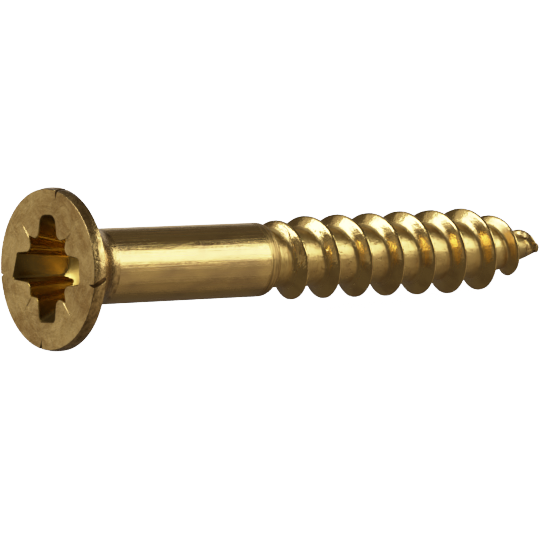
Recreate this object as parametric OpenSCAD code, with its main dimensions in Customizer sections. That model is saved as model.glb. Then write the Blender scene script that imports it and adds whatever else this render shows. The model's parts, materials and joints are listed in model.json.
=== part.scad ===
// Countersunk wood screw, 4.0 x 30 mm, headed and thread-rolled from one brass blank.
// The screw is drawn along its own axis, face of the head at 0 and point at screw_l, and is then
// laid on the plane Z = 0 with its point towards +X. It touches the plane with the rim of its
// head and with the last turn of thread that still has its height, so its axis dips a little.

/* [Overall] */
// Length from the face of the head to the point
screw_l = 29.9; // [24:0.1:40]
// Turn of the screw about its own axis as it lies, from one wing of the recess pointing down
roll = 175.6; // [0:0.1:360]

/* [Head] */
// Diameter of the head
head_d = 7.4; // [6.8:0.1:8.4]
// Height of the cylindrical land at the rim
land_h = 0.58; // [0.3:0.02:0.9]
// Angle of the countersunk cone
head_angle = 90; // [80:1:100]
// Bevel between the face and the land
face_bevel = 0.1; // [0.04:0.01:0.2]
// Radius of the fillet between the cone and the shank
neck_r = 0.6; // [0.2:0.1:1.2]

/* [Shank] */
// Diameter of the plain shank
shank_d = 3.5; // [3.3:0.05:3.9]
// Radius that rounds the end of the shank down to the root of the thread
shoulder_r = 0.2; // [0.1:0.02:0.4]

/* [Thread] */
// Length of the threaded end, from the shank to the point
thread_l = 17.65; // [12:0.05:20]
// Diameter over the crests, next to the shank
thread_d = 3.93; // [3.91:0.01:4.3]
// How much wider the crests are where the point begins
crest_growth = 0.2; // [0:0.01:0.3]
// Diameter at the root
root_d = 2.8; // [2.5:0.02:3]
// Distance from one crest to the next
pitch = 1.954; // [1.6:0.002:2.2]
// Angle between the two flanks of the ridge
flank_angle = 58; // [45:1:65]
// Width of the flat on the crest
crest_w = 0.1; // [0.04:0.01:0.2]
// Radius between a flank and the root
root_fillet = 0.16; // [0.05:0.01:0.3]
// Length over which the ridge rises to its full height after the shank
run_in = 1.65; // [0.8:0.05:4]
// Distance from the end of the shank to the first crest in line with a wing of the recess
first_crest = 0.9; // [0:0.01:2]

/* [Point] */
// Length of the tapered point
point_l = 4.85; // [3:0.05:7]
// Radius of the blunt end
tip_r = 0.24; // [0.1:0.01:0.3]
// How full the crest stays in the point: 1 is a straight cone
crest_fullness = 1.5; // [1:0.05:2]
// Height at which the ridge breaks off at the blunt end
end_height = 0.22; // [0:0.01:0.4]

/* [Cross recess, type Z] */
// Distance across two wings, end to end
wings_across = 4.9; // [4.4:0.05:5.2]
// Width of a wing
wing_w = 1.28; // [1:0.02:1.5]
// Distance across the square core, flat to flat
core_w = 2.66; // [2.4:0.02:2.9]
// Distance across two of the notches in the corners of the core
notches_across = 4.04; // [3.9:0.02:4.3]
// Depth of the wings
wing_depth = 2.2; // [1.6:0.05:2.4]
// Further depth of the cone at the bottom
bottom_cone_h = 0.45; // [0.2:0.05:0.6]
// Slope of the wings' ends, from the screw's axis
wing_slope = 26.5; // [20:0.5:28]
// Slope of the core's sides, from the screw's axis
core_slope = 10; // [4:0.5:14]
// Slope of the wings' sides, from the screw's axis
side_slope = 2.5; // [1:0.5:5]
// Radius of the lobes of metal between a wing and a notch
lobe_r = 0.3; // [0.1:0.02:0.34]
// Radius in the corners of a wing
wing_corner_r = 0.14; // [0.05:0.01:0.2]
// How far the punch sat off the screw's axis, towards the second wing
punch_offset = 0.1; // [0:0.02:0.2]
// Reach of the fine diagonal marks on the face, across two of them
marks_across = 5.7; // [4.6:0.1:6.4]
// Width of a diagonal mark
mark_w = 0.14; // [0.06:0.02:0.24]

/* [Wear] */
// Places round the head of the splits that the punch left in the rim
split_angles = [11, 97, 187, 263]; // [0:1:359]
// Width of a split at the rim
split_w = 0.2; // [0.1:0.02:0.4]
// Depth of a split from the rim inwards
split_depth = 0.24; // [0.1:0.02:0.4]

/* [Hidden] */

// Round parts of the head and shank
$fn = 96;
// Facets round the thread, and points on each rounding of the recess
thread_facets = 60;
arc_steps = 4;
// Smallest step along the axis between two points of the thread
least_step = 0.03;
// Overshoot of cutting shapes past the metal, and overlap of the thread's core with the shank
over = 0.3;

head_r = head_d / 2;
shank_r = shank_d / 2;
crest_r = thread_d / 2;
root_r = root_d / 2;

// Places along the axis
cone_end = land_h + (head_r - shank_r) / tan(head_angle / 2);
thread_z = screw_l - thread_l;
taper_z = screw_l - point_l;
tip_z = screw_l - tip_r;
first_crest_z = thread_z + first_crest;

function lerp(a, b, t) = a + (b - a) * t;
function clamp01(t) = min(1, max(0, t));
function arc(centre, r, a0, a1, steps = arc_steps) =
    [for (i = [0 : steps]) let (a = lerp(a0, a1, i / steps)) centre + r * [cos(a), sin(a)]];

// ---- Head and shank: one turned profile ----

// Fillet in the corner between the cone and the shank, as [radius, height] points
function neck() =
    let (turn = head_angle / 2, set_back = neck_r * tan(turn / 2))
    arc([shank_r + neck_r, cone_end + set_back], neck_r, 180 + turn, 180);

// The shank's end rounds down to just outside the root
function shoulder() =
    let (r = min(shoulder_r, shank_r - root_r - least_step))
    arc([shank_r - r, thread_z - r], r, 0, 90);

module head_and_shank() {
    rotate_extrude()
        polygon(concat(
            [[0, 0], [head_r - face_bevel, 0], [head_r, face_bevel], [head_r, land_h]],
            neck(), shoulder(),
            [[0, thread_z]]));
}

// ---- Thread: one helical ridge on a core that tapers to the point ----

function taper(z) = clamp01((z - taper_z) / (tip_z - taper_z));
function root_at(z) = z < tip_z
    ? lerp(root_r, tip_r, taper(z))
    : sqrt(max(0, tip_r * tip_r - (z - tip_z) * (z - tip_z)));
function full_crest_at(z) =
    crest_r + crest_growth / 2 * clamp01((z - thread_z - run_in) / (taper_z - thread_z - run_in));
function crest_at(z) = lerp(full_crest_at(z), tip_r + end_height, pow(taper(z), crest_fullness));
function rise(z) = sin(90 * clamp01((z - thread_z) / run_in));

// Half of the ridge's section from its crest outwards, as [distance along, height over the root]
function half_ridge(depth) =
    let (
        slope = 90 - flank_angle / 2,
        foot = crest_w / 2 + depth / tan(slope),
        r = min(root_fillet, depth / 2),
        set_back = r * tan(slope / 2))
    [
        [crest_w / 2, depth],
        [foot - set_back * cos(slope), set_back * sin(slope)],
        [foot + set_back - r * sin(slope / 2), r * (1 - cos(slope / 2))],
        [foot + set_back, 0]
    ];
// Both halves, from the head's side to the point's side
function ridge(depth) =
    let (half = half_ridge(depth))
    concat([for (i = [3 : -1 : 0]) [-half[i].x, half[i].y]], half);
ridge_points = 8;

// One column of points along the thread, at a facet's edge: [order along the helix, z, radius].
// The first and last points lie in rings, and those between them climb with the helix.
// The core starts a little inside the shank, so that the two always run into each other.
turns = ceil(thread_l / pitch) + 2;
ring = 1000;
function column(facet) = concat(
    [[-ring, thread_z - over, root_at(thread_z)]],
    [for (turn = [-2 : turns])
        let (
            crest_z = first_crest_z + pitch * (turn + facet / thread_facets),
            section = ridge(max(least_step, crest_at(crest_z) - root_at(crest_z))))
        for (i = [0 : ridge_points - 1])
            let (z = crest_z + section[i].x)
            if (z > thread_z + least_step && z < tip_z - least_step)
                [turn * ridge_points + i, z, root_at(z) + section[i].y * rise(z)]],
    [for (i = [0 : 2]) let (z = tip_z + tip_r * sin(30 * i)) [ring + i, z, root_at(z)]]);

columns = [for (facet = [0 : thread_facets - 1]) column(facet)];
function count_before(facet, i = 0, sum = 0) =
    i == facet ? sum : count_before(facet, i + 1, sum + len(columns[i]));
first_index = [for (facet = [0 : thread_facets]) count_before(facet)];
thread_points = concat(
    [for (facet = [0 : thread_facets - 1]) for (p = columns[facet])
        let (a = 360 * facet / thread_facets) [p[2] * cos(a), p[2] * sin(a), p[1]]],
    [[0, 0, thread_z - over], [0, 0, screw_l]]);
base_centre = len(thread_points) - 2;
tip_centre = len(thread_points) - 1;

// Order of a point as its left neighbour sees it: past the last facet the helix is a turn on
function order(p, wraps) = wraps && abs(p[0]) < ring / 2 ? p[0] - ridge_points : p[0];

// Triangles between two neighbouring columns, stepping along whichever lags behind
function stitch(facet) =
    let (
        next = (facet + 1) % thread_facets,
        wraps = next == 0,
        a = columns[facet],
        b = columns[next],
        a0 = first_index[facet],
        b0 = first_index[next],
        na = len(a) - 1,
        nb = len(b) - 1)
    [for (
        i = 0, j = 0, on_a = a[1][0] <= order(b[1], wraps);
        i + j < na + nb;
        i = i + (on_a ? 1 : 0), j = j + (on_a ? 0 : 1),
        on_a = j == nb || (i < na && a[i + 1][0] <= order(b[j + 1], wraps)))
        on_a ? [a0 + i, a0 + i + 1, b0 + j] : [a0 + i, b0 + j + 1, b0 + j]];

module thread() {
    ends = [for (facet = [0 : thread_facets - 1])
        let (next = (facet + 1) % thread_facets)
        each [
            [base_centre, first_index[facet], first_index[next]],
            [tip_centre, first_index[next] + len(columns[next]) - 1,
                first_index[facet] + len(columns[facet]) - 1]
        ]];
    sides = [for (facet = [0 : thread_facets - 1]) each stitch(facet)];
    polyhedron(thread_points, concat(ends, sides));
}

// ---- Cross recess ----

// Quarter of the recess's outline at one depth, from one wing's end to the next
function recess_quarter(depth) =
    let (
        l = wings_across / 2 - depth * tan(wing_slope),
        w = wing_w / 2 - depth * tan(side_slope),
        c = core_w / 2 - depth * tan(core_slope),
        n = notches_across / 2 * sqrt(0.5) - depth * tan(core_slope),
        r = min(lobe_r, 0.9 * (l - wing_corner_r - c)),
        side = concat(
            arc([l, w] - wing_corner_r * [1, 1], wing_corner_r, 0, 90),
            arc([c, w] + r * [1, 1], r, 270, 180)))
    concat(side, [[n, n]], [for (i = [len(side) - 1 : -1 : 0]) [side[i].y, side[i].x]]);
function quarter_turn(p, k) = [p.x * cos(90 * k) - p.y * sin(90 * k), p.x * sin(90 * k) + p.y * cos(90 * k)];
function recess_outline(depth) =
    [for (k = [0 : 3]) for (p = recess_quarter(depth)) quarter_turn(p, k)];

module cross_recess() {
    top = recess_outline(-over);
    bottom = recess_outline(wing_depth);
    n = len(top);
    polyhedron(
        concat(
            [for (p = top) [p.x, p.y, -over]],
            [for (p = bottom) [p.x, p.y, wing_depth]],
            [[0, 0, wing_depth + bottom_cone_h]]),
        concat(
            [[for (i = [0 : n - 1]) i]],
            [for (i = [0 : n - 1]) let (j = (i + 1) % n) each [
                [i, n + i, j], [j, n + i, n + j], [n + i, 2 * n, n + j]
            ]]));
}

// A V-groove along +X in the face
module groove(from_r, to_r, w, d) {
    half_top = w / 2 * (1 + over / d);
    translate([from_r, 0, 0])
        rotate([90, 0, 90])
            linear_extrude(to_r - from_r)
                polygon([[-half_top, -over], [half_top, -over], [0, d]]);
}

module diagonal_marks() {
    for (a = [45 : 90 : 315])
        rotate(a) groove(notches_across / 2 - over, marks_across / 2, mark_w, mark_w / 2);
}

// V-cuts that run down the land where the punch spread the metal
module rim_splits() {
    half = split_w / 2 * (1 + over / split_depth);
    for (a = split_angles)
        rotate(a)
            translate([0, 0, -over])
                linear_extrude(land_h + 2 * over)
                    polygon([[head_r - split_depth, 0], [head_r + over, -half], [head_r + over, half]]);
}

// ---- The screw as it lies ----

// The head's rim and a crest straight below the axis both touch the plane: of all such crests,
// the one that meets it first sets the dip of the axis
low_crests = [for (turn = [0 : turns])
    let (z = first_crest_z + pitch * (turn - roll / 360))
    if (z > thread_z + run_in && z < tip_z) z];
dip = min([for (z = low_crests) atan((head_r - crest_at(z)) / (z - land_h))]);
rest_z = head_r * cos(dip) + land_h * sin(dip);
back_x = -(head_r - face_bevel) * sin(dip);
front_x = tip_z * cos(dip) + tip_r;

module wood_screw() {
    color("#b3924a")
        translate([-(back_x + front_x) / 2, 0, rest_z])
            rotate([0, 90 + dip, 0])
                rotate(roll) {
                    difference() {
                        head_and_shank();
                        translate([0, punch_offset, 0]) cross_recess();
                        translate([0, punch_offset, 0]) diagonal_marks();
                        rim_splits();
                    }
                    thread();
                }
}

wood_screw();
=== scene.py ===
import json
import math

import bmesh
import bpy
import numpy as np
from mathutils import Matrix, Vector


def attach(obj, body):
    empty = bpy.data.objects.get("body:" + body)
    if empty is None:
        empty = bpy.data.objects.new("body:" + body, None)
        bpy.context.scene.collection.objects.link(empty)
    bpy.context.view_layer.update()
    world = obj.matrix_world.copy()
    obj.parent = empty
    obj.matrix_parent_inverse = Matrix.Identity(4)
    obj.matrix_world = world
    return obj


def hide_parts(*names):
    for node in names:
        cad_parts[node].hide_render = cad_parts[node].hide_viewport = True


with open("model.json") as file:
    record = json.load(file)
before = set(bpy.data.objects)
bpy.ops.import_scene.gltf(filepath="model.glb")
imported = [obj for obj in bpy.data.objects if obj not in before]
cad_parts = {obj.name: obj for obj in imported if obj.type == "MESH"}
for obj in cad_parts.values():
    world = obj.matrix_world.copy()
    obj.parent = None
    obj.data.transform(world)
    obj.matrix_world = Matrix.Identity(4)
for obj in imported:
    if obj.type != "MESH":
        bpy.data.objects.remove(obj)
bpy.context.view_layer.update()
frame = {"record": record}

# Where the screw lies: its mounts give the middle of the head's face and the axis.
# It is built in millimetres along its own axis, face at 0, and laid in the frame at the end.
lie = {
    "roll": 175.6,  # degrees round the axis, so that the first wing of the recess points nearly up
    "metresPerMm": 0.001,
}
mmPerMetre = 1 / lie["metresPerMm"]
mounts = {mount["name"]: mount for mount in frame["record"]["mounts"]}
axis = -Vector(mounts["drive_recess"]["axis"]).normalized()
faceCentre = Vector(mounts["drive_recess"]["pos_m"])
sideways = Vector((0, 1, 0))
downwards = sideways.cross(axis)
roll = math.radians(lie["roll"])
ownX = downwards * math.cos(roll) + sideways * math.sin(roll)
ownY = axis.cross(ownX)
turn = Matrix((ownX, ownY, axis)).transposed()
place = Matrix.Translation(faceCentre) @ turn.to_4x4() @ Matrix.Scale(lie["metresPerMm"], 4)


def addNode(tree, kind, feeds=(), **settings):
    # feeds are numbers, sockets or nodes (their first output), by place or by socket name
    node = tree.nodes.new(kind)
    for name, value in settings.items():
        setattr(node, name, value)
    for key, feed in feeds.items() if isinstance(feeds, dict) else enumerate(feeds):
        if isinstance(feed, bpy.types.Node):
            feed = feed.outputs[0]
        if isinstance(feed, bpy.types.NodeSocket):
            tree.links.new(feed, node.inputs[key])
        elif feed is not None:
            node.inputs[key].default_value = feed
    return node


def polar(radius, degrees):
    angle = np.radians(degrees)
    return np.stack([radius * np.cos(angle), radius * np.sin(angle)], -1)


def smooth(t):
    t = np.clip(t, 0, 1)
    return t * t * (3 - 2 * t)


# Cross recess type Z, punched. Its outline starts in the middle of the wing at 0 degrees and runs
# round with a fixed number of points on every feature, so that outlines at all depths match.
recess = {
    # how far each wing reaches at its first and its second corner, going round
    "reach": ((2.42, 2.44), (2.44, 2.48), (2.4, 2.44), (2.7, 2.4)),
    "even": (2.4, 2.4),  # what every wing's reach was before wear, as it still is at the foot
    "wingWidth": 1.34,
    "wingTaper": 0.06,  # lost on each side towards the wing's end
    "coreWidth": 2.66,
    "notches": (4.04, 4.04, 3.7, 4.04),  # twice each notch's distance from the centre
    "depth": 2.15,  # at the ends of the wings
    "dishCentre": 0.2,  # how far it lies towards the first wing
    "dishSlope": 0.9,
    "dishBlunt": 0.7,
    "wingSlope": 26.5,  # degrees from the axis
    "coreSlope": 10,
    "sideSlope": 2.5,
    "lobeRadius": 0.36,
    "lobeShare": 0.9,  # the most of a short side that its lobe takes
    "corners": (0.42, 0.2, 0.2, 0.12),  # radius at the ends of each wing
    "offCentre": (0.0, 0.1),
    "edgeRound": 0.035,
    "pointsOn": {"end": 7, "corner": 6, "side": 12, "lobe": 12, "notch": 17},
    "floorRings": (0.06, 0.2, 0.4, 0.55, 0.7, 0.82, 0.9, 0.96, 0.99),  # shares of the way to the walls
    "wallRings": (0.985, 0.03, 14),  # first and last share of the depth, and how many
    "edgeRings": (0, 30, 60, 90),  # degrees round the rounded edge
    "cutTries": 12,
    "cutLimits": (0.5, 1.25),  # the dish cuts the walls between these shares of the depth
}
pointsRound = 8 * sum(recess["pointsOn"].values())


def wingHalf(middle, corner, across, bend, depth):
    # from the middle of a wing's end round its corner and the lobe to just before the notch
    lost = depth * math.tan(math.radians(recess["wingSlope"]))
    inset = depth * math.tan(math.radians(recess["coreSlope"]))
    core = recess["coreWidth"] / 2 - inset
    half = recess["wingWidth"] / 2 - depth * math.tan(math.radians(recess["sideSlope"]))
    notch = across / 2 * math.sqrt(0.5) - inset
    middle, corner = middle - lost, corner - lost
    lobe = min(recess["lobeRadius"], recess["lobeShare"] * (corner - bend - core))
    taper = recess["wingTaper"]
    steps = {name: np.arange(count)[:, None] / count for name, count in recess["pointsOn"].items()}
    sideRun = np.array([core + lobe - corner + bend, taper])
    notchRun = np.array([notch - core, notch - half - lobe])
    end = np.array([middle, 0]) + steps["end"] * np.array([corner - middle, half - taper - bend])
    rounded = np.array([corner - bend, half - taper - bend]) + polar(bend, 90 * steps["corner"][:, 0])
    side = np.array([corner - bend, half - taper]) + steps["side"] * sideRun
    bulge = np.array([core + lobe, half + lobe]) + polar(lobe, 270 - 90 * steps["lobe"][:, 0])
    flat = np.array([core, half + lobe]) + steps["notch"] * notchRun
    return np.concatenate([end, rounded, side, bulge, flat]), notch


def recessOutline(depth, outwards=0.0, worn=True):
    reach = recess["reach"] if worn else (recess["even"],) * 4
    bends = recess["corners"]
    quarters = []
    for k, (c, s) in enumerate(((1, 0), (0, 1), (-1, 0), (0, -1))):
        following = (k + 1) % 4
        here, there, across = reach[k], reach[following], recess["notches"][k]
        first, notch = wingHalf(sum(here) / 2, here[1], across, bends[k], depth)
        second, notch = wingHalf(sum(there) / 2, there[0], across, bends[following], depth)
        quarter = np.concatenate([first, [[notch, notch]], second[:0:-1, ::-1]])
        quarters.append(quarter @ np.array([[c, s], [-s, c]]))
    outline = np.concatenate(quarters)
    along = np.roll(outline, -1, 0) - np.roll(outline, 1, 0)
    normal = np.stack([along[:, 1], -along[:, 0]], -1) / np.linalg.norm(along, axis=1)[:, None]
    return outline + outwards * normal + np.array(recess["offCentre"])


def dish(p):
    # depth of the recess's blunt conical bottom, which leaves the side wings at their own depth
    aside, slope, blunt = recess["dishCentre"], recess["dishSlope"], recess["dishBlunt"]
    reach = recess["even"][0] - recess["depth"] * math.tan(math.radians(recess["wingSlope"]))
    away = np.sqrt(((p - np.array([aside, 0])) ** 2).sum(-1) + blunt**2)
    return recess["depth"] + slope * (math.sqrt(reach**2 + aside**2 + blunt**2) - away)


def recessRings():
    middle, deep = np.array(recess["offCentre"]), recess["depth"]
    top, low = recessOutline(0), recessOutline(deep, worn=False)
    share = np.ones(len(top))  # how far down each line of the wall the dish cuts it off
    for again in range(recess["cutTries"]):
        wall = top + (low - top) * share[:, None]
        share = 0.5 * share + 0.5 * np.clip(dish(wall - middle) / deep, *recess["cutLimits"])
    foot = top + (low - top) * share[:, None]
    rings = []
    for t in recess["floorRings"]:
        p = middle + (foot - middle) * t
        rings.append((p, dish(p - middle)))
    for t in np.linspace(*recess["wallRings"]):
        rings.append((top + (low - top) * (share * t)[:, None], deep * share * t))
    edge = recess["edgeRound"]
    for a in recess["edgeRings"]:
        c, s = math.cos(math.radians(a)), math.sin(math.radians(a))
        rings.append((recessOutline(edge * (1 - s), edge * (1 - c)), edge * (1 - s)))
    return rings


# Head: a turned face, a thin bevel, a land that the blow made barrel-shaped, and the countersunk cone.
# The rim sits a little off the shank's middle, and the punch split it beside each wing.
head = {
    "radius": 3.7,
    "offCentre": (-0.034, 0.074),
    "oval": (0.016, 100),  # how much, and which way round
    "barrel": ((0, 0.03, 0.3, 0.36, 0.58), (-0.022, -0.02, 0.038, 0.043, 0.034)),  # heights, swelling
    "bevel": 0.035,
    "land": 0.58,
    "coneHalf": 48,  # degrees from the axis, a little more than the nominal 45
    "neckRadius": 1.3,
    # degrees round, half width, depth, slant over the land
    "splits": ((11, 0.08, 0.42, 0), (98.5, 0.09, 0.4, -9),
               (187, 0.085, 0.42, 3), (263, 0.07, 0.16, 0)),
    "splitFade": 0.35,  # how far past the land they close up
    "splitLean": 6,  # degrees on each side that follow a split's slant
    "crackedFrom": 0.05,  # depth from which a split gets the painted shade
    "crackedRings": 6,  # how many rings of the cone that reaches
    # degrees round, strength, how far they reach out
    "marks": ((48.5, 0.9, 2.86), (136.5, 0.75, 3.1), (219.5, 0.6, 2.9), (315.9, 1.0, 2.86)),
    "markStart": 1.9,
    "markWidth": 0.085,
    "markDepth": 0.07,
    "markFade": (0.7, 0.5),  # powers by which the width and the depth run out
    "besideMark": 14,  # grid lines on each side that make room for a mark
    "besideSplit": 8,
    "faceRings": 20,
    "faceCrowd": 1.3,  # above 1, the rings crowd towards the recess
    "faceEnd": 0.985,  # share of the way at which the last but one stands
    "bevelRings": (30, 60, 90),  # degrees round the bevel
    "landRings": (0.09, 0.14, 0.2, 0.26, 0.33, 0.4, 0.46, 0.52),
    "landEdges": (0.015, 0.025, 0.008),  # closer rings after the bevel and before the cone
    "coneRings": (0.004, 0.015, 0.04, 0.08, 0.15, 0.25, 0.4, 0.6, 0.8, 1),
    "neckRings": 8,
}
shank = {"radius": 1.75, "join": 11.4, "rings": 14}

# The finishes in the order of the screw's material slots: the first four follow each other
# from the recess to the shank.
finishOrder = ("punched", "turned", "headed", "drawn", "splitShade", "scored", "rolled", "torn")


def rimAngles(z):
    # grid lines fall on each split's middle and edges, and follow its slant down the land
    outline = recessOutline(0)
    even = np.arange(pointsRound) * 360 / pointsRound
    asCut = np.degrees(np.arctan2(outline[:, 1], outline[:, 0]))
    asCut = even + ((asCut - even + 180) % 360 - 180)
    at = 0.5 * even + 0.5 * asCut
    beside = head["besideMark"]
    for degrees, strength, far in head["marks"]:
        i = int(round(degrees / 90 - 0.5)) * pointsRound // 4 + pointsRound // 8
        span = np.arange(i - beside, i + beside + 1)
        keys = [i - beside, i, i + beside]
        at[span] = np.interp(span, keys, [at[i - beside], degrees, at[i + beside]])
    beside = head["besideSplit"]
    for degrees, width, depth, slant in head["splits"]:
        i = int(np.argmin(abs(at - degrees)))
        w = math.degrees(width / head["radius"])
        span = np.arange(i - beside, i + beside + 1)
        keys = [i - beside, i - 1, i, i + 1, i + beside]
        at[span] = np.interp(span, keys, [at[i - beside], degrees - w, degrees, degrees + w, at[i + beside]])
    for degrees, width, depth, slant in head["splits"]:
        at = at + slant * z * np.exp(-(((at - degrees) / head["splitLean"]) ** 2))
    return at


def splitDepth(at, z):
    deep = np.zeros(len(at))
    for degrees, width, depth, slant in head["splits"]:
        across = np.radians(at - degrees - slant * z) * head["radius"]
        fade = 1 - smooth((z - head["land"]) / head["splitFade"])
        deep += depth * fade * np.clip(1 - abs(across) / width, 0, 1)
    return deep


def rimRing(z, inset=0.0):
    at = rimAngles(z)
    amount, way = head["oval"]
    radius = head["radius"] + np.interp(z, *head["barrel"]) + amount * np.cos(np.radians(2 * (at - way)))
    return polar(radius - inset - splitDepth(at, z), at) + np.array(head["offCentre"])


def faceRings(edge):
    # from the edge of the recess out to the bevel, with the diagonal marks of type Z
    rim = rimRing(0, head["bevel"])
    spread = np.linspace(0, 1, head["faceRings"] + 1)[1:]
    widthFade, depthFade = head["markFade"]
    rings = []
    for t in [*(spread ** head["faceCrowd"] * head["faceEnd"]), 1]:
        p = edge + (rim - edge) * t
        z = np.zeros(len(p))
        for degrees, strength, far in head["marks"]:
            way = polar(1, degrees)
            out, across = p @ way, p @ np.array([-way[1], way[0]])
            left = np.clip((far - out) / (far - head["markStart"]), 0, 1) * (out > head["markStart"])
            narrowed = strength * head["markWidth"] * left**widthFade + 1e-6
            sunk = strength * head["markDepth"] * left**depthFade
            z += sunk * np.clip(1 - abs(across) / narrowed, 0, 1)
        rings.append((p, z))
    return rings


def landRings():
    bevel, land = head["bevel"], head["land"]
    rings = []
    for a in head["bevelRings"]:
        z = bevel * (1 - math.cos(math.radians(a)))
        rings.append((rimRing(z, bevel * (1 - math.sin(math.radians(a)))), z))
    first, lastButOne, last = head["landEdges"]
    for z in (bevel + first, *head["landRings"], land - lastButOne, land - last):
        rings.append((rimRing(z), z))
    return rings


def coneRings():
    # the countersunk cone runs from the rim's shape to a circle, and a fillet joins it to the shank
    plain = np.arange(pointsRound) * 360 / pointsRound
    half = math.radians(head["coneHalf"])
    setBack = head["neckRadius"] * math.tan(half / 2)
    meets = head["land"] + (head["radius"] - shank["radius"]) / math.tan(half)  # without the fillet
    coneHigh = meets - setBack * math.cos(half) - head["land"]
    neck = polar(np.full(pointsRound, shank["radius"] + setBack * math.sin(half)), plain)
    rings = []
    for t in head["coneRings"]:
        z = head["land"] + coneHigh * t
        rings.append((rimRing(z) * (1 - t) + neck * t, z))
    for a in np.linspace(half, 0, head["neckRings"] + 1)[1:]:
        radius = shank["radius"] + head["neckRadius"] * (1 - math.cos(a))
        z = meets + setBack - head["neckRadius"] * math.sin(a)
        rings.append((polar(np.full(pointsRound, radius), plain), z))
    return rings


def headRings():
    # every ring from the bottom of the recess to the shank, and how many there are up to each edge
    rings = recessRings()
    count = {"recess": len(rings)}
    rings += faceRings(rings[-1][0])
    count["face"] = len(rings)
    rings += landRings()
    count["land"] = len(rings)
    rings += coneRings()
    count["cone"] = len(rings)
    sparse = np.arange(pointsRound // 2) * 720 / pointsRound
    for z in np.linspace(rings[-1][1], shank["join"], shank["rings"] + 1)[1:]:
        rings.append((polar(np.full(len(sparse), shank["radius"]), sparse), z))
    return rings, count


def buildHead():
    rings, count = headRings()
    points = [[*recess["offCentre"], float(dish(np.zeros(2)))]]
    starts = []
    for p, z in rings:
        starts.append(len(points))
        points += np.column_stack([p, np.broadcast_to(z, len(p))]).tolist()
    n = pointsRound
    faces = [(0, starts[0] + (i + 1) % n, starts[0] + i) for i in range(n)]
    finish = [0] * n
    for k in range(len(rings) - 1):
        a, b, na, nb = starts[k], starts[k + 1], len(rings[k][0]), len(rings[k + 1][0])
        before = len(faces)
        if na == nb:
            faces += [(a + i, a + (i + 1) % na, b + (i + 1) % na, b + i) for i in range(na)]
        else:  # two points of the head meet one of the shank
            for j in range(nb):
                a0, a1, a2 = a + 2 * j, a + 2 * j + 1, a + (2 * j + 2) % na
                b0, b1 = b + j, b + (j + 1) % nb
                faces += [(a0, a1, b0), (a1, a2, b1), (a1, b1, b0)]
        zone = sum(k + 1 >= count[name] for name in ("recess", "face", "cone"))
        finish += [zone] * (len(faces) - before)
        # faces in the deep part of a split get the painted shade of the split
        if count["face"] <= k + 1 < count["land"] + head["crackedRings"]:
            z = np.max(rings[k + 1][1])
            deep = splitDepth(rimAngles(z), z)
            for i in np.flatnonzero(np.maximum(deep, np.roll(deep, -1)) > head["crackedFrom"]):
                finish[before + i] = finishOrder.index("splitShade")
    print("head laid out,", len(rings), "rings of", pointsRound, "points")
    return points, faces, finish


# Rolled thread with the shoulder and the point, in millimetres along the axis from the face.
thread = {
    "Join": shank["join"],
    "Shank Radius": shank["radius"],
    "Shank End": 12.42,
    "Shoulder Length": 0.4,
    "Root Radius": 1.36,
    "Crest Radius": 1.964,
    "Crest Growth": 0.108,
    "Pitch": 1.954,
    "First Crest": 13.15,
    "Run In": 1.35,
    "Head Flank": 25.6,  # degrees from square to the axis, on the side towards the head
    "Head Flank Early": 31.0,  # on the first turns, which the dies filled less
    "Point Flank": 16.0,
    "Crest Width": 0.12,
    "Crest Round": 0.05,
    "Root Fillet": 0.06,
    "Taper Start": 25.15,
    "Tip Z": 29.66,
    "Tip Radius": 0.24,
    "Crest Fullness": 1.42,
    "End Height": 0.24,
    "Torn From": 29.35,
    "Torn Over": 0.16,
    "Root Fullness": 1.4,
    "Turns": 14,
    "Rows Per Turn": 22,
    "Row Crowd": 0.6 / math.tau,  # how far the rows draw together on the crest
    "Steps Round": pointsRound // 2,
    "Turns Before": 3,
    "Shoulder Reach": 0.35,  # past the shank's end, where the rows start to crowd
    "Shoulder Crowd": 0.5,
    "Tip Reach": 0.45,
    "Tip Crowd": -0.6,
    "Waviness": 0.08,
    "Wave Scale": 0.9,
    "Dents": 0.03,
    "Dent Scale": 4.5,
    "Waves Grow Over": 1.5,
    "Seed": 4.0,
    "End Gap": 0.0005,  # what lies closer to the end is drawn in to the axis
    "Weld": 0.0002,
}


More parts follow.
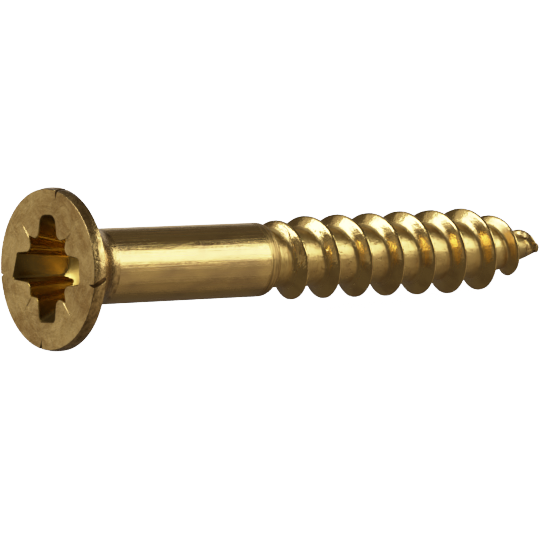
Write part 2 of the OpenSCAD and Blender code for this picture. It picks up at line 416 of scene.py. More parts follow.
def threadTree():
    tree = bpy.data.node_groups.new("rolledThread", "GeometryNodeTree")
    tree.interface.new_socket("Geometry", in_out="OUTPUT", socket_type="NodeSocketGeometry")
    for name, value in thread.items():
        kind = "NodeSocketInt" if isinstance(value, int) else "NodeSocketFloat"
        tree.interface.new_socket(name, in_out="INPUT", socket_type=kind)
    tree.interface.new_socket("Material", in_out="INPUT", socket_type="NodeSocketMaterial")
    size = addNode(tree, "NodeGroupInput").outputs
    m = "ShaderNodeMath"  # which most of the tree is made of

    # a sheet of rows along the axis and columns round it, told apart by index
    rows = addNode(tree, m, (size["Turns"], size["Rows Per Turn"]), operation="MULTIPLY")
    columns = addNode(tree, m, (size["Steps Round"], 1), operation="ADD")
    sheet = addNode(tree, "GeometryNodeMeshGrid", {"Vertices X": rows, "Vertices Y": columns})
    index = addNode(tree, "GeometryNodeInputIndex")
    row = addNode(tree, m, (index, 0.5), operation="ADD")
    row = addNode(tree, m, (row, columns), operation="DIVIDE")
    row = addNode(tree, m, (row,), operation="FLOOR")
    column = addNode(tree, m, (row, columns), operation="MULTIPLY")
    column = addNode(tree, m, (column, -1, index), operation="MULTIPLY_ADD")
    around = addNode(tree, m, (column, size["Steps Round"]), operation="DIVIDE")
    angle = addNode(tree, m, (around, math.tau), operation="MULTIPLY")

    # rows stand close on the crest and wide in the root, and each row climbs one pitch in a turn
    share = addNode(tree, m, (row, size["Rows Per Turn"]), operation="DIVIDE")
    wave = addNode(tree, m, (share, math.tau), operation="MULTIPLY")
    wave = addNode(tree, m, (wave,), operation="SINE")
    spread = addNode(tree, m, (wave, size["Row Crowd"], share), operation="MULTIPLY_ADD")
    climbed = addNode(tree, m, (spread, around), operation="ADD")
    climbed = addNode(tree, m, (climbed, size["Turns Before"]), operation="SUBTRACT")
    climbed = addNode(tree, m, (climbed, 0.5), operation="SUBTRACT")
    raw = addNode(tree, m, (climbed, size["Pitch"], size["First Crest"]), operation="MULTIPLY_ADD")

    # rows crowd over the shoulder and over the tip, and what lies past the ends folds onto them
    short = addNode(tree, m, (size["Shank End"], size["Shoulder Reach"]), operation="ADD")
    short = addNode(tree, m, (short, raw), operation="SUBTRACT")
    short = addNode(tree, m, (short, 0), operation="MAXIMUM")
    z = addNode(tree, m, (short, size["Shoulder Crowd"], raw), operation="MULTIPLY_ADD")
    past = addNode(tree, m, (raw, size["Tip Z"]), operation="SUBTRACT")
    past = addNode(tree, m, (past, size["Tip Reach"]), operation="ADD")
    past = addNode(tree, m, (past, 0), operation="MAXIMUM")
    z = addNode(tree, m, (past, size["Tip Crowd"], z), operation="MULTIPLY_ADD")
    z = addNode(tree, m, (z, size["Join"]), operation="MAXIMUM")
    end = addNode(tree, m, (size["Tip Z"], size["Tip Radius"]), operation="ADD")
    z = addNode(tree, m, (z, end), operation="MINIMUM")

    # distance along the axis from the nearest crest
    phase = addNode(tree, m, (z, size["First Crest"]), operation="SUBTRACT")
    phase = addNode(tree, m, (phase, size["Pitch"]), operation="DIVIDE")
    phase = addNode(tree, m, (phase, around), operation="SUBTRACT")
    phase = addNode(tree, m, (phase, 0.5), operation="ADD")
    phase = addNode(tree, m, (phase,), operation="FRACT")
    phase = addNode(tree, m, (phase, 0.5), operation="SUBTRACT")
    offset = addNode(tree, m, (phase, size["Pitch"]), operation="MULTIPLY")
    crestZ = addNode(tree, m, (z, offset), operation="SUBTRACT")

    # core: shank, rounded shoulder, root, taper and blunt tip
    taperLength = addNode(tree, m, (size["Tip Z"], size["Taper Start"]), operation="SUBTRACT")
    narrowing = addNode(tree, m, (size["Tip Radius"], size["Root Radius"]), operation="SUBTRACT")
    tapers, roots = [], []
    for along in (z, crestZ):
        taper = addNode(tree, m, (along, size["Taper Start"]), operation="SUBTRACT")
        taper = addNode(tree, m, (taper, taperLength), operation="DIVIDE", use_clamp=True)
        fuller = addNode(tree, m, (taper, size["Root Fullness"]), operation="POWER")
        tapers.append(taper)
        roots.append(addNode(tree, m, (fuller, narrowing, size["Root Radius"]), operation="MULTIPLY_ADD"))
    cap = addNode(tree, m, (z, size["Tip Z"]), operation="SUBTRACT")
    cap = addNode(tree, m, (cap, size["Tip Radius"]), operation="DIVIDE", use_clamp=True)
    cap = addNode(tree, m, (cap, cap), operation="MULTIPLY")
    cap = addNode(tree, m, (1, cap), operation="SUBTRACT", use_clamp=True)
    cap = addNode(tree, m, (cap,), operation="SQRT")
    root = addNode(tree, m, (roots[0], cap), operation="MULTIPLY")
    fall = addNode(tree, m, (size["Shank End"], z), operation="SUBTRACT")
    fall = addNode(tree, m, (fall, size["Shoulder Length"]), operation="DIVIDE", use_clamp=True)
    fall = addNode(tree, m, (1, fall), operation="SUBTRACT")
    fall = addNode(tree, m, (fall, fall), operation="MULTIPLY")
    fall = addNode(tree, m, (1, fall), operation="SUBTRACT", use_clamp=True)
    fall = addNode(tree, m, (fall,), operation="SQRT")
    step = addNode(tree, m, (size["Shank Radius"], size["Root Radius"]), operation="SUBTRACT")
    core = addNode(tree, m, (fall, step, root), operation="MULTIPLY_ADD")

    # crest height: growing from the shank's end to the taper, then shrinking to the tip
    runEnd = addNode(tree, m, (size["Shank End"], size["Run In"]), operation="ADD")
    ran = addNode(tree, m, (crestZ, runEnd), operation="SUBTRACT")
    whole = addNode(tree, m, (size["Taper Start"], runEnd), operation="SUBTRACT")
    grown = addNode(tree, m, (ran, whole), operation="DIVIDE", use_clamp=True)
    full = addNode(tree, m, (grown, size["Crest Growth"], size["Crest Radius"]), operation="MULTIPLY_ADD")
    last = addNode(tree, m, (size["Tip Radius"], size["End Height"]), operation="ADD")
    last = addNode(tree, m, (last, full), operation="SUBTRACT")
    fuller = addNode(tree, m, (tapers[1], size["Crest Fullness"]), operation="POWER")
    crest = addNode(tree, m, (last, fuller, full), operation="MULTIPLY_ADD")
    ridgeHigh = addNode(tree, m, (crest, roots[1]), operation="SUBTRACT")

    # ridge: flat crest and straight flanks, run in from the shoulder and torn off at the tip
    halfFlat = addNode(tree, m, (size["Crest Width"], 0.5), operation="MULTIPLY")
    aside = addNode(tree, m, (offset,), operation="ABSOLUTE")
    aside = addNode(tree, m, (aside, halfFlat), operation="SUBTRACT")
    pointSide = addNode(tree, m, (offset, 0), operation="GREATER_THAN")
    headSide = addNode(tree, "ShaderNodeMix", {0: grown, 2: size["Head Flank Early"], 3: size["Head Flank"]})
    lean = addNode(tree, "ShaderNodeMix", {0: pointSide, 2: headSide, 3: size["Point Flank"]})
    lean = addNode(tree, m, (lean,), operation="RADIANS")
    lean = addNode(tree, m, (lean,), operation="TANGENT")
    flank = addNode(tree, m, (aside, lean), operation="DIVIDE")
    flank = addNode(tree, m, (ridgeHigh, flank), operation="SUBTRACT")
    ridge = addNode(tree, m, (ridgeHigh, flank, size["Crest Round"]), operation="SMOOTH_MIN")
    rise = addNode(tree, m, (z, size["Shank End"]), operation="SUBTRACT")
    rise = addNode(tree, m, (rise, size["Run In"]), operation="DIVIDE", use_clamp=True)
    rise = addNode(tree, m, (rise, math.pi / 2), operation="MULTIPLY")
    rise = addNode(tree, m, (rise,), operation="SINE")
    tornOff = addNode(tree, m, (crestZ, size["Torn From"]), operation="SUBTRACT")
    tornOff = addNode(tree, m, (tornOff, size["Torn Over"]), operation="DIVIDE", use_clamp=True)
    left = addNode(tree, m, (1, tornOff), operation="SUBTRACT")
    rise = addNode(tree, m, (rise, left), operation="MULTIPLY")
    ridge = addNode(tree, m, (ridge, rise), operation="MULTIPLY")
    top = addNode(tree, m, (ridge, root), operation="ADD")
    radius = addNode(tree, m, (core, top, size["Root Fillet"]), operation="SMOOTH_MAX")

    # rolled metal is never quite even: slow waves, and small dents, none of them at the join
    cosine = addNode(tree, m, (angle,), operation="COSINE")
    sine = addNode(tree, m, (angle,), operation="SINE")
    flat = addNode(tree, "ShaderNodeCombineXYZ", (cosine, sine, z))
    slow = addNode(tree, "ShaderNodeTexNoise", {
        "Vector": flat, "W": size["Seed"], "Scale": size["Wave Scale"], "Detail": 1.0},
        noise_dimensions="4D")
    slow = addNode(tree, m, (slow, 0.5), operation="SUBTRACT")
    narrow = addNode(tree, "ShaderNodeVectorMath", (flat, (1.8, 1.8, 1)), operation="MULTIPLY")
    small = addNode(tree, "ShaderNodeTexNoise", {
        "Vector": narrow, "W": size["Seed"], "Scale": size["Dent Scale"], "Detail": 2.0},
        noise_dimensions="4D")
    small = addNode(tree, m, (small, 0.5), operation="SUBTRACT")
    small = addNode(tree, m, (small, size["Dents"]), operation="MULTIPLY")
    uneven = addNode(tree, m, (slow, size["Waviness"], small), operation="MULTIPLY_ADD")
    clear = addNode(tree, m, (z, size["Shank End"]), operation="SUBTRACT")
    clear = addNode(tree, m, (clear, size["Waves Grow Over"]), operation="DIVIDE", use_clamp=True)
    radius = addNode(tree, m, (uneven, clear, radius), operation="MULTIPLY_ADD")
    almost = addNode(tree, m, (end, size["End Gap"]), operation="SUBTRACT")
    within = addNode(tree, m, (z, almost), operation="LESS_THAN")
    radius = addNode(tree, m, (radius, within), operation="MULTIPLY")

    across = addNode(tree, m, (radius, cosine), operation="MULTIPLY")
    upward = addNode(tree, m, (radius, sine), operation="MULTIPLY")
    where = addNode(tree, "ShaderNodeCombineXYZ", (across, upward, z))
    shaped = addNode(tree, "GeometryNodeSetPosition", {"Geometry": sheet, "Position": where})
    welded = addNode(tree, "GeometryNodeMergeByDistance", {"Geometry": shaped, "Distance": size["Weld"]})
    outwards = addNode(tree, "GeometryNodeFlipFaces", {"Mesh": welded})
    rounded = addNode(tree, "GeometryNodeSetShadeSmooth", {"Geometry": outwards})
    real = addNode(tree, "GeometryNodeRealizeInstances", {"Geometry": rounded})
    finished = addNode(tree, "GeometryNodeSetMaterial", {"Geometry": real, "Material": size["Material"]})
    addNode(tree, "NodeGroupOutput", (finished,))
    return tree


def runTree(name, tree, values):
    # the modifier's result becomes a plain mesh
    piece = bpy.data.objects.new(name, bpy.data.meshes.new(name))
    bpy.context.scene.collection.objects.link(piece)
    modifier = piece.modifiers.new("tree", "NODES")
    modifier.node_group = tree
    for item in tree.interface.items_tree:
        if item.in_out == "INPUT" and item.name in values:
            modifier[item.identifier] = values[item.name]
    depsgraph = bpy.context.evaluated_depsgraph_get()
    mesh = bpy.data.meshes.new_from_object(piece.evaluated_get(depsgraph), depsgraph=depsgraph)
    piece.modifiers.remove(modifier)
    bpy.data.objects.remove(piece)
    print(name, "rolled,", len(mesh.polygons), "faces")
    return mesh


def linear(hexColour):
    # sRGB hex to linear numbers
    parts = [int(hexColour[i:i + 2], 16) / 255 for i in (1, 3, 5)]
    return [p / 12.92 if p <= 0.04045 else ((p + 0.055) / 1.055) ** 2.4 for p in parts] + [1.0]


def brass(name, settings):
    # a metal whose patterns are laid out in millimetres along the screw's own axis,
    # straight, or wound round it so that they run in arcs
    material = bpy.data.materials.new(name)
    material.use_nodes = True
    tree = material.node_tree
    shader = tree.nodes["Principled BSDF"]
    shader.inputs["Metallic"].default_value = 1
    back = turn.transposed()
    own = addNode(tree, "ShaderNodeMapping", {
        "Vector": addNode(tree, "ShaderNodeTexCoord").outputs["Object"],
        "Location": -(back @ faceCentre) * mmPerMetre,
        "Rotation": back.to_euler(),
        "Scale": (mmPerMetre,) * 3})
    parts = addNode(tree, "ShaderNodeSeparateXYZ", (own,)).outputs
    across = addNode(tree, "ShaderNodeCombineXYZ", (parts[0], parts[1], 0))
    radius = addNode(tree, "ShaderNodeVectorMath", (across,), operation="LENGTH").outputs["Value"]
    unit = addNode(tree, "ShaderNodeVectorMath", (across,), operation="NORMALIZE")
    facing = addNode(tree, "ShaderNodeSeparateXYZ", (unit,)).outputs
    wound = addNode(tree, "ShaderNodeCombineXYZ", (radius, facing[0], facing[1]))
    layouts = {"straight": own, "wound": wound}
    # how far from the axis towards the first or the third wing of the recess
    upright = addNode(tree, "ShaderNodeMath", (parts[0],), operation="ABSOLUTE")
    seen = {"along": parts[2], "radius": radius, "upright": upright}
    for pattern, (layout, scale, detail, roughness, distortion) in settings["patterns"].items():
        sized = addNode(tree, "ShaderNodeVectorMath", (layouts[layout], scale), operation="MULTIPLY")
        seen[pattern] = addNode(tree, "ShaderNodeTexNoise", {
            "Vector": sized, "Scale": 1.0, "Detail": detail,
            "Roughness": roughness, "Distortion": distortion})
    return material, tree, shader, seen


def finishBrass(tree, shader, settings, seen, dulledBy, roughenedBy):
    # both run from 0 to 1, and the settings say which patterns stand in relief, and by how much
    tint = addNode(tree, "ShaderNodeMix", {
        0: dulledBy, 6: linear(settings["colour"]), 7: linear(settings["dull"])}, data_type="RGBA")
    tree.links.new(tint.outputs[2], shader.inputs["Base Color"])
    rough = addNode(tree, "ShaderNodeMapRange", (roughenedBy, 0, 1, *settings["roughness"]))
    tree.links.new(rough.outputs[0], shader.inputs["Roughness"])
    normal = None
    for pattern, millimetres in settings["relief"].items():
        normal = addNode(tree, "ShaderNodeBump", {
            "Height": seen[pattern], "Distance": millimetres / mmPerMetre, "Normal": normal})
    tree.links.new(normal.outputs[0], shader.inputs["Normal"])


# The screw is all one yellow brass, with well over a third of zinc, so its finishes differ only in how
# they were made and how far they have dulled. Each pattern is: layout, cells per mm, detail, roughness,
# distortion. A wound one has cells per mm outwards and per radian round. Relief is in mm, and a range
# says from what and to what, and then what those give.

# Turned face, brass cut on a lathe: broken arcs round the axis, under clouds where it was pressed or
# has dulled, so that it shows as matt gold with a few brighter streaks.
turned = {
    "colour": "#eeca80",
    "dull": "#bd9658",
    "roughness": (0.24, 0.6),
    "patterns": {
        "arcs": ("wound", (5.0, 3.5, 3.5), 4.0, 0.7, 1.2),  # cut 0.05 mm apart, drawn at 0.2 to show
        "patches": ("straight", (1.1, 1.1, 1.1), 5.0, 0.7, 0.6),  # 0.9 mm, handling
        "clouds": ("straight", (0.25, 0.25, 0.25), 1.0, 0.5, 0.0),  # 4 mm, half the face
        "grain": ("straight", (8, 8, 8), 2.0, 0.5, 0.0),  # 0.03 mm, drawn at 0.12 to show
    },
    "arcShare": 0.5,
    "dulledOver": (0.08, 0.44, 0.0, 1.0),
    "roughOver": (0.6, 0.9, 0.0, 1.0),
    "relief": {"arcs": 0.02, "patches": 0.07, "grain": 0.02},
}
turnedBrass, tree, shader, seen = brass("turnedBrass", turned)
mixed = addNode(tree, "ShaderNodeMath", (seen["arcs"], turned["arcShare"], seen["patches"]),
                operation="MULTIPLY_ADD")
clouded = addNode(tree, "ShaderNodeMath", (mixed, seen["clouds"]), operation="SUBTRACT")
dulled = addNode(tree, "ShaderNodeMapRange", (clouded, *turned["dulledOver"]))
roughened = addNode(tree, "ShaderNodeMapRange", (mixed, *turned["roughOver"]))
finishBrass(tree, shader, turned, seen, dulled, roughened)

# Headed rim and cone, brass upset against a die: the die's skin leaves them mottled and half dull,
# so that the land reads as a darker band round the face.
headed = {
    "colour": "#dcb876",
    "dull": "#a08250",
    "roughness": (0.16, 0.36),
    "patterns": {
        "mottling": ("straight", (3.5, 3.5, 5.0), 3.0, 0.65, 0.3),  # 0.3 mm, flattened by the blow
        "grain": ("straight", (9, 9, 9), 2.0, 0.6, 0.0),  # 0.03 mm, drawn at 0.11 to show
    },
    "dulledOver": (0.4, 0.62, 0.0, 1.0),
    "relief": {"mottling": 0.02, "grain": 0.01},
}
headedBrass, tree, shader, seen = brass("headedBrass", headed)
dulled = addNode(tree, "ShaderNodeMapRange", (seen["mottling"], *headed["dulledOver"]))
finishBrass(tree, shader, headed, seen, dulled, seen["mottling"])

# Drawn shank, brass wire as it left the drawing die: fine lines along the length, and a skin that the
# rolls crinkled here and there, which break the highlight up into streaks.
drawn = {
    "colour": "#eeca80",
    "dull": "#c9a873",
    "roughness": (0.16, 0.3),
    "patterns": {
        "lines": ("straight", (9, 9, 0.16), 3.0, 0.65, 0.0),  # 0.02 mm apart, drawn at 0.11, 6 long
        "skin": ("straight", (4.5, 4.5, 3.0), 3.0, 0.6, 0.0),  # 0.2 by 0.3 mm
        "patches": ("straight", (0.9, 0.9, 0.5), 2.0, 0.5, 0.0),  # 1 by 2 mm, where it was held
    },
    "dulledOver": (0.45, 0.7, 0.0, 0.8),
    "roughOver": (0.35, 0.65, 0.0, 1.0),
    "relief": {"lines": 0.010, "skin": 0.010},
}
drawnBrass, tree, shader, seen = brass("drawnBrass", drawn)
dulled = addNode(tree, "ShaderNodeMapRange", (seen["patches"], *drawn["dulledOver"]))
roughened = addNode(tree, "ShaderNodeMapRange", (seen["lines"], *drawn["roughOver"]))
finishBrass(tree, shader, drawn, seen, dulled, roughened)

# Scored shoulder, where the ends of the rolls rubbed: rings round it leave it satin and a little darker.
scored = {
    "colour": "#e6c078",
    "dull": "#b08f58",
    "roughness": (0.3, 0.5),
    "patterns": {
        "rings": ("straight", (0.8, 0.8, 8.0), 2.0, 0.6, 0.0),  # 0.12 mm apart, broken every 1.2 mm
        "mottling": ("straight", (3.0, 3.0, 3.0), 3.0, 0.6, 0.0),  # 0.3 mm
    },
    "dulledOver": (0.4, 0.6, 0.0, 1.0),
    "relief": {"rings": 0.05, "mottling": 0.02},
}
scoredBrass, tree, shader, seen = brass("scoredBrass", scored)
dulled = addNode(tree, "ShaderNodeMapRange", (seen["rings"], *scored["dulledOver"]))
finishBrass(tree, shader, scored, seen, dulled, seen["mottling"])

# Rolled thread, brass pressed between dies: burnished where they slid over the flanks, so the crests
# mirror the lights, and satin down at the root, with a few pits and, on the first turns, folds.
rolled = {
    "colour": "#eecb7e",
    "dull": "#cca86a",
    "roughness": (0.1, 0.42),
    "patterns": {
        "skin": ("straight", (2.6, 2.6, 2.6), 3.0, 0.55, 0.0),  # 0.4 mm
        "patches": ("straight", (1.1, 1.1, 1.1), 2.0, 0.5, 0.0),  # 0.9 mm
        "pits": ("straight", (5.5, 5.5, 5.5), 1.0, 0.5, 0.0),  # 0.2 mm
        "grain": ("straight", (10, 10, 10), 1.0, 0.5, 0.0),  # 0.02 mm, drawn at 0.1 to show
        "folds": ("straight", (0.7, 0.7, 4.0), 3.0, 0.6, 0.5),  # 0.25 mm wide, 1.4 long, round the core
    },
    "rootOver": (1.4, 1.62, 1.0, 0.0),  # radius
    "dulledOver": (0.45, 0.7, 0.0, 0.8),
    "satinAtRoot": 0.6,
    "satinInPatches": 0.4,
    "pitsOver": (0.66, 0.72, 0.0, -1.0),
    "fewerPitsOver": (15.0, 19.0, 1.0, 0.35),  # along the axis
    "foldsOver": (12.6, 16.5, 1.0, 0.0),
    "relief": {"skin": 0.011, "folds": 0.08, "pits": 0.03, "grain": 0.005},
}
rolledBrass, tree, shader, seen = brass("rolledBrass", rolled)
atRoot = addNode(tree, "ShaderNodeMapRange", (seen["radius"], *rolled["rootOver"]))
dulled = addNode(tree, "ShaderNodeMapRange", (seen["patches"], *rolled["dulledOver"]))
satin = addNode(tree, "ShaderNodeMath", (atRoot, rolled["satinAtRoot"]), operation="MULTIPLY")
roughened = addNode(tree, "ShaderNodeMath", (seen["patches"], rolled["satinInPatches"], satin),
                    operation="MULTIPLY_ADD")
early = addNode(tree, "ShaderNodeMapRange", (seen["along"], *rolled["fewerPitsOver"]))
pits = addNode(tree, "ShaderNodeMapRange", (seen["pits"], *rolled["pitsOver"]))
pits = addNode(tree, "ShaderNodeMath", (pits, atRoot), operation="MULTIPLY")
seen["pits"] = addNode(tree, "ShaderNodeMath", (pits, early), operation="MULTIPLY")
start = addNode(tree, "ShaderNodeMapRange", (seen["along"], *rolled["foldsOver"]))
seen["folds"] = addNode(tree, "ShaderNodeMath", (seen["folds"], start), operation="MULTIPLY")
finishBrass(tree, shader, rolled, seen, dulled, roughened)

# Torn point, brass broken off at the end of the thread: brown, grainy and dull, with bright torn spots.
torn = {
    "colour": "#e9c67e",
    "dull": "#8a6338",
    "roughness": (0.16, 0.4),
    "patterns": {
        "lumps": ("straight", (2.0, 2.0, 2.0), 1.0, 0.5, 0.0),  # 0.5 mm
        "grain": ("straight", (5, 5, 5), 2.0, 0.5, 0.0),  # 0.2 mm
    },
    "brokenOver": (29.2, 29.8, -0.1, 0.2),  # along the axis, browner towards the break
    "dulledOver": (0.48, 0.62, 0.0, 1.0),
    "relief": {"lumps": 0.16, "grain": 0.015},
}
tornBrass, tree, shader, seen = brass("tornBrass", torn)
broken = addNode(tree, "ShaderNodeMapRange", (seen["along"], *torn["brokenOver"]))
browned = addNode(tree, "ShaderNodeMath", (seen["grain"], broken), operation="ADD")
dulled = addNode(tree, "ShaderNodeMapRange", (browned, *torn["dulledOver"]))
finishBrass(tree, shader, torn, seen, dulled, seen["grain"])

# Punched recess: the tool burnished its walls and drew faint lines down them, and left the bottom satin,
# so one wall mirrors the next in deep gold. Painted shade darkens the ends of the wings and the two upright
# wings.
punched = {
    "colour": "#cfac58",
    # dull: the colour of the painted shade at the wing ends and in the upright wings, and of the random
    # patches
    "dull": "#786030",
    "roughness": (0.2, 0.5),
    "patterns": {
        "wipes": ("straight", (2.5, 2.5, 0.3), 1.0, 0.5, 0.0),  # 0.4 mm apart, down the whole wall
        "patches": ("straight", (1.3, 1.3, 1.3), 2.0, 0.5, 0.0),  # 0.8 mm
    },
    "endShadeOver": (2.02, 2.4, 0.0, 0.8),  # radius; painted shade towards the ends of the wings
    "shadedWingsOver": (1.4, 2.2, 0.0, 0.9),  # the two upright wings, painted darker as shade
    "bottomOver": (2.1, 2.3, 0.0, 0.7),  # depth
    "darkInPatches": 0.2,
    "satinInPatches": 0.3,
    "relief": {"wipes": 0.001},
}
punchedBrass, tree, shader, seen = brass("punchedBrass", punched)
# painted shade: darker towards the ends of the wings and in the two upright wings, with random patches on
# top
shadeAtEnds = addNode(tree, "ShaderNodeMapRange", (seen["radius"], *punched["endShadeOver"]))
shadedWings = addNode(tree, "ShaderNodeMapRange", (seen["upright"], *punched["shadedWingsOver"]))
paintedShade = addNode(tree, "ShaderNodeMath", (shadeAtEnds, shadedWings), operation="MAXIMUM")
shadeAndPatches = addNode(tree, "ShaderNodeMath", (seen["patches"], punched["darkInPatches"], paintedShade),
                   operation="MULTIPLY_ADD", use_clamp=True)
atBottom = addNode(tree, "ShaderNodeMapRange", (seen["along"], *punched["bottomOver"]))
dullest = addNode(tree, "ShaderNodeMath", (atBottom, shadedWings), operation="MAXIMUM")
satin = addNode(tree, "ShaderNodeMath", (seen["patches"], punched["satinInPatches"], dullest),
                operation="MULTIPLY_ADD", use_clamp=True)
finishBrass(tree, shader, punched, seen, shadeAndPatches, satin)

# Cracked brass inside the splits of the rim, which tore and never saw a tool: painted dark brown as the
# shade inside the splits.
# The splits are under 0.2 mm wide, so a pattern would not show.
splitShade = {"colour": "#5b4022", "roughness": 0.5}
splitShadeBrass = bpy.data.materials.new("splitShadeBrass")
splitShadeBrass.use_nodes = True
shader = splitShadeBrass.node_tree.nodes["Principled BSDF"]
shader.inputs["Metallic"].default_value = 1
shader.inputs["Base Color"].default_value = linear(splitShade["colour"])
shader.inputs["Roughness"].default_value = splitShade["roughness"]
print("finishes made,", len(finishOrder), "kinds of brass")

# The whole screw: the head's rings and the rolled end are one mesh, joined in a ring on the shank.
joined = {
    "starts": {"drawn": 0.0, "scored": 11.62, "rolled": 12.4, "torn": 28.6},  # along the axis
    "gap": 0.002,  # edges of the two parts that lie closer are the same
}
materials = {"punched": punchedBrass, "turned": turnedBrass, "headed": headedBrass, "drawn": drawnBrass,
             "splitShade": splitShadeBrass, "scored": scoredBrass, "rolled": rolledBrass, "torn": tornBrass}
threadMesh = runTree("thread", threadTree(), {**thread, "Material": rolledBrass})
points, faces, finish = buildHead()
screwMesh = bpy.data.meshes.new("brassScrew")
screwMesh.from_pydata(points, [], faces)
for name in finishOrder:
    screwMesh.materials.append(materials[name])
bm = bmesh.new()
bm.from_mesh(screwMesh)
bm.faces.ensure_lookup_table()
for face, zone in zip(bm.faces, finish):
    face.material_index = zone
headFaces = len(bm.faces)
bm.from_mesh(threadMesh)
bm.faces.ensure_lookup_table()
for face in bm.faces[headFaces:]:
    z = face.calc_center_median().z
    passed = [name for name, start in joined["starts"].items() if z > start]
    face.material_index = finishOrder.index(passed[-1])
for face in bm.faces:
    face.smooth = True
seam = [v for v in bm.verts if any(e.is_boundary for e in v.link_edges)]
bmesh.ops.remove_doubles(bm, verts=seam, dist=joined["gap"])
openEdges = sum(not e.is_manifold for e in bm.edges)
print("screw joined,", openEdges, "open edges,", round(bm.calc_volume(signed=True), 2), "mm3")
bmesh.ops.transform(bm, matrix=place, verts=bm.verts)
bm.to_mesh(screwMesh)
bm.free()
screw = bpy.data.objects.new("brassScrew", screwMesh)
bpy.context.scene.collection.objects.link(screw)
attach(screw, "root")
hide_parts("wood_screw")
print("screw in place,", sum(len(p.vertices) - 2 for p in screwMesh.polygons), "triangles")

# Floor, room, lights and camera
studio = {
    "floorSize": 6.0,
    "paper": "#f3f3f3",
    "glow": 2.9,  # keeps the paper white in the soft shadow under the screw
    "backdrop": ("#ffffff", 3.6),  # what the camera sees behind, colour and strength
    "room": ("#ffecd9", (-0.5, 0.1, 0.1, 0.085)),  # what the brass sees: a little dimmer above
    "boxDistance": 1.2,
    "camera": (-0.118883, -0.14906, 0.034945),
    "azimuth": 38.125,
    "drop": 9.773,
    "lens": 271.45,
    "sensor": 36,
    "clip": (0.005, 50),
}
floorMesh = bpy.data.meshes.new("floor")
h, low = studio["floorSize"] / 2, min(v.co.z for v in screwMesh.vertices)
floorMesh.from_pydata([(-h, -h, low), (h, -h, low), (h, h, low), (-h, h, low)], [], [(0, 1, 2, 3)])
floor = bpy.data.objects.new("floor", floorMesh)
bpy.context.scene.collection.objects.link(floor)
paper = bpy.data.materials.new("whitePaper")
paper.use_nodes = True
shader = paper.node_tree.nodes["Principled BSDF"]
shader.inputs["Base Color"].default_value = linear(studio["paper"])
shader.inputs["Roughness"].default_value = 1
shader.inputs["Specular IOR Level"].default_value = 0
shader.inputs["Emission Color"].default_value = linear("#ffffff")
shader.inputs["Emission Strength"].default_value = studio["glow"]
floorMesh.materials.append(paper)
floor.visible_glossy = False

world = bpy.data.worlds.new("studio")
world.use_nodes = True
bpy.context.scene.world = world
sky = world.node_tree
sky.nodes.clear()
# the camera sees a white backdrop, and the brass a dim room
rays = addNode(sky, "ShaderNodeLightPath")
direction = addNode(sky, "ShaderNodeTexCoord").outputs["Generated"]
height = addNode(sky, "ShaderNodeSeparateXYZ", (direction,)).outputs[2]
roomColour, roomStrength = studio["room"]
backColour, backStrength = studio["backdrop"]
dusk = addNode(sky, "ShaderNodeMapRange", (height, *roomStrength))
dim = addNode(sky, "ShaderNodeBackground", {"Color": linear(roomColour), "Strength": dusk})
bright = addNode(sky, "ShaderNodeBackground", {"Color": linear(backColour), "Strength": backStrength})
both = addNode(sky, "ShaderNodeMixShader", {0: rays.outputs["Is Camera Ray"], 1: dim, 2: bright})
addNode(sky, "ShaderNodeOutputWorld", (both,))


def softbox(name, azimuth, elevation, wide, high, strength, colour):
    a, e = math.radians(azimuth), math.radians(elevation)
    out = Vector((math.cos(e) * math.sin(a), math.cos(e) * math.cos(a), math.sin(e)))
    light = bpy.data.lights.new(name, "AREA")
    light.shape = "RECTANGLE"
    light.size = 2 * studio["boxDistance"] * math.tan(math.radians(wide / 2))
    light.size_y = 2 * studio["boxDistance"] * math.tan(math.radians(high / 2))
    light.energy = strength * light.size * light.size_y * math.pi
    light.color = linear(colour)[:3]
    lamp = bpy.data.objects.new(name, light)
    bpy.context.scene.collection.objects.link(lamp)
    lamp.location = out * studio["boxDistance"]
    lamp.rotation_euler = (-out).to_track_quat("-Z", "Y").to_euler()
    lamp.visible_camera = False


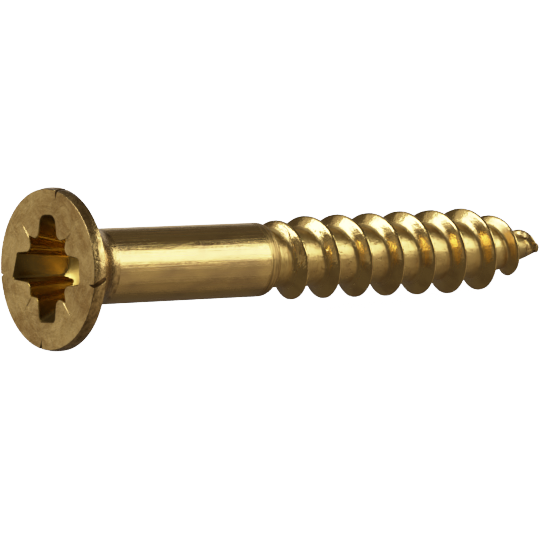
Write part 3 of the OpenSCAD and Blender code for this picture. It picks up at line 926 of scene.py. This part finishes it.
# Cool softboxes in a dim, slightly warm room. Each one's place is azimuth from +Y towards +X and
# elevation, then how many degrees wide and high it looks from the screw, strength and colour.
lights = {
    "rightBox": (132, 22.5, 47, 27, 2.85, "#f6faf0"),  # the key: light along the shank and in the roots
    "rightCore": (115, 25, 18, 21, 2.8, "#f6faf0"),  # its hot end, for the warm spots between the turns
    "rightEdge": (138, 2, 50, 16, 0.42, "#fff6e8"),  # then its soft fade down to the floor
    "rightSkirt": (138, -22, 56, 32, 0.27, "#fff0dc"),
    "rightFoot": (130, -50, 70, 22, 0.12, "#ffe8cc"),
    "leftBox": (-85, 41, 37, 20, 6.2, "#f4f8fa"),  # the highlights on the crests
    "leftHalo": (-76, 42, 60, 36, 0.45, "#fffaf0"),  # and their soft edge
    "topBox": (-40, 70, 70, 32, 0.25, "#f4f8fa"),  # overhead, for the upper side of the roots
    "leftWall": (-27, -2, 62, 36, 0.37, "#fffaf0"),  # what the face of the head looks at
    "backWall": (40, 6, 56, 26, 0.5, "#fffaf0"),  # what the outermost edges of the brass catch
    "leftEdge": (-84, -2, 50, 36, 0.2, "#fff4e4"),  # under the left box, so that no flank goes black
}
for name, settings in lights.items():
    softbox(name, *settings)
print("studio set,", len(lights), "lights")

lens = bpy.data.cameras.new("camera")
lens.lens = studio["lens"]
lens.sensor_width = studio["sensor"]
lens.clip_start, lens.clip_end = studio["clip"]
camera = bpy.data.objects.new("camera", lens)
bpy.context.scene.collection.objects.link(camera)
camera.location = studio["camera"]
a, e = math.radians(studio["azimuth"]), math.radians(studio["drop"])
aim = Vector((math.cos(e) * math.sin(a), math.cos(e) * math.cos(a), -math.sin(e)))
camera.rotation_euler = aim.to_track_quat("-Z", "Y").to_euler()
bpy.context.scene.camera = camera

# Film: straight up to the middle tones, then a soft shoulder, so that bright metal turns to cream
film = {
    "white": 3,
    "curve": ((0.1, 0.3), (0.2, 0.57), (0.3, 0.76), (0.45, 0.88), (0.7, 0.96)),
}
view = bpy.context.scene.view_settings
view.view_transform = "Standard"
view.use_curve_mapping = True
view.curve_mapping.white_level = (film["white"],) * 3
for x, y in film["curve"]:
    view.curve_mapping.curves[3].points.new(x, y)
view.curve_mapping.update()
print("camera and film set")
